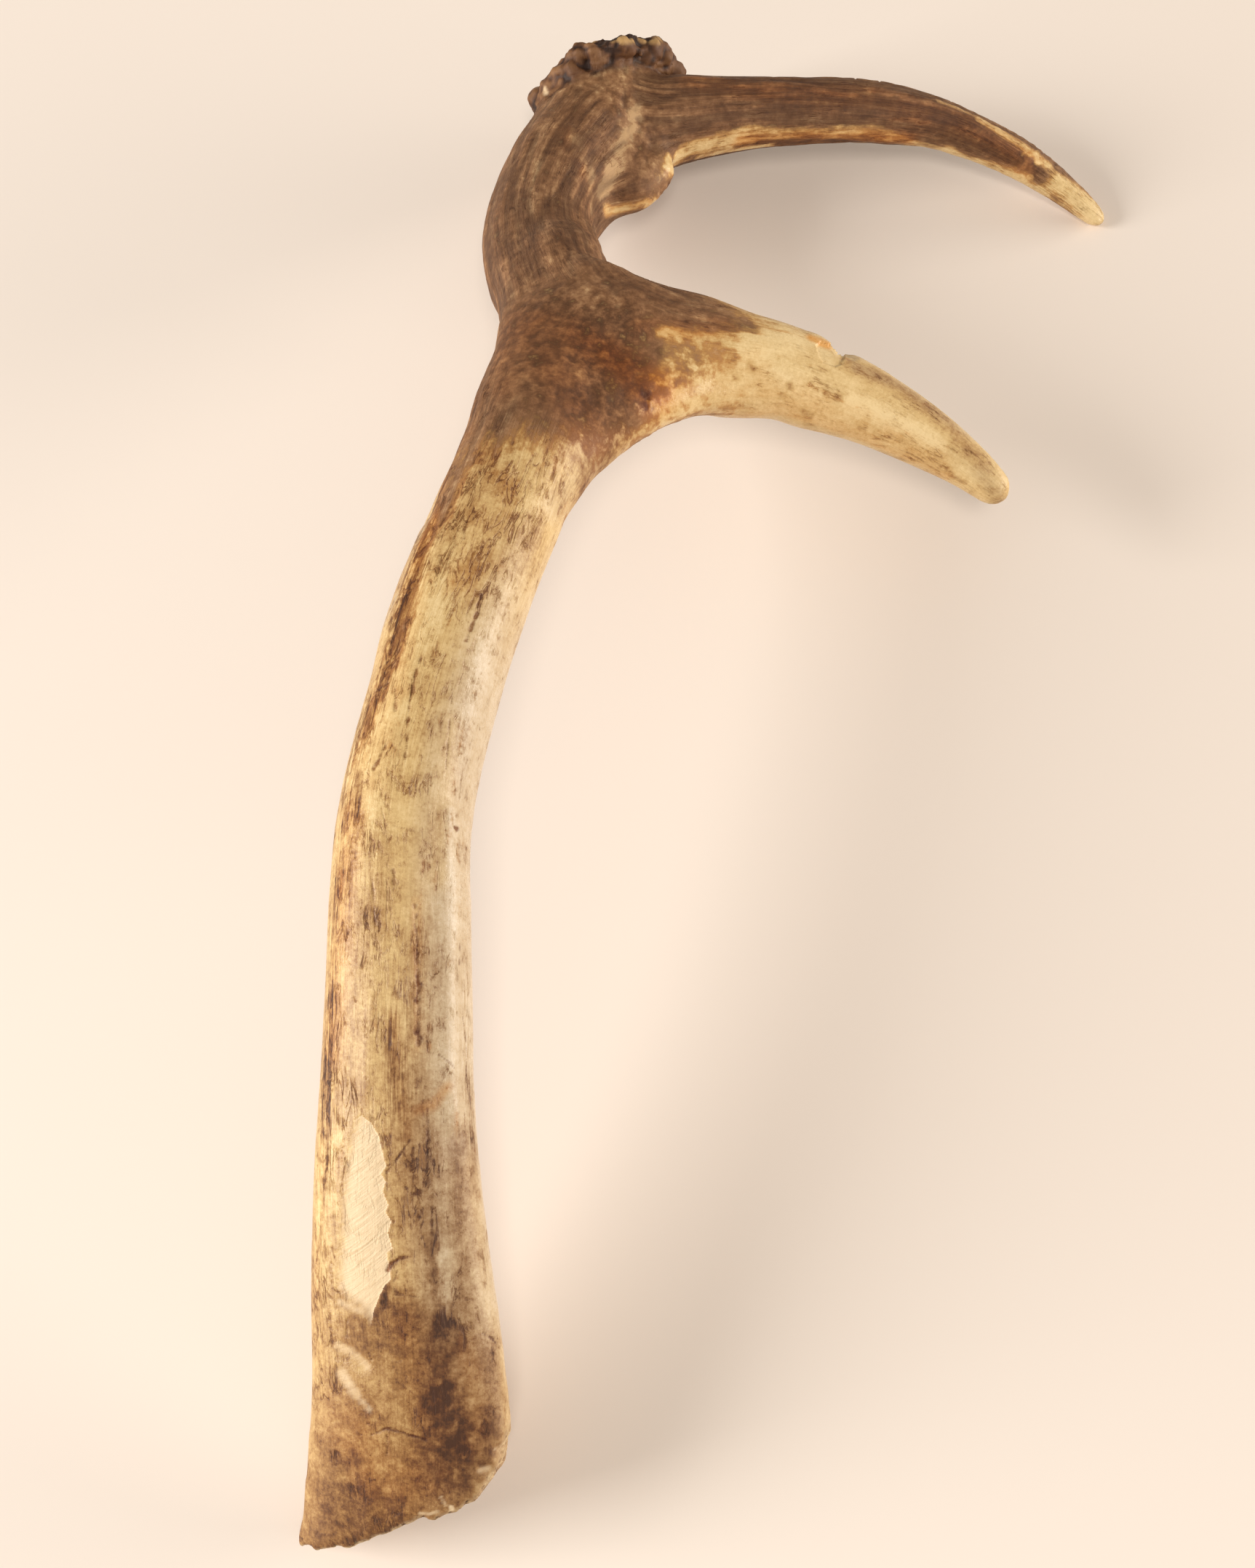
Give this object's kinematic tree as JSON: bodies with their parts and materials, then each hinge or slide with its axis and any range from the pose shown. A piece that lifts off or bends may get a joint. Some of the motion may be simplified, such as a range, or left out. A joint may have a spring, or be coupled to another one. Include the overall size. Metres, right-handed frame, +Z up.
{
  "type": "deer antler",
  "caption": "Cast deer antler with a beaded burr, a long brow tine, a curved middle tine and an arched beam that widens to a broken-off end. It lies on a flat surface.",
  "frame": {"origin": "on the surface that the antler lies on, under the middle of its bounding box", "axes": "+Z up as it lies; +Y from the broken end of the beam towards the burr; +X towards the side that the tines are on"},
  "size_m": [0.2142, 0.4098, 0.0857],
  "materials": {
    "lower_beam": "antler bone, dark brown, ridged along the grain, with a beaded burr",
    "brow_tine": "antler bone, brown, worn to a cream tip",
    "middle_tine": "antler bone, tan with brown mottling, polished by wear",
    "upper_beam": "antler bone, cream with brown streaks, polished by wear, raw at the break"
  },
  "bodies": {
    "root": {"lower_beam": "lower_beam", "brow_tine": "brow_tine", "middle_tine": "middle_tine", "upper_beam": "upper_beam"}
  },
  "joints": []
}
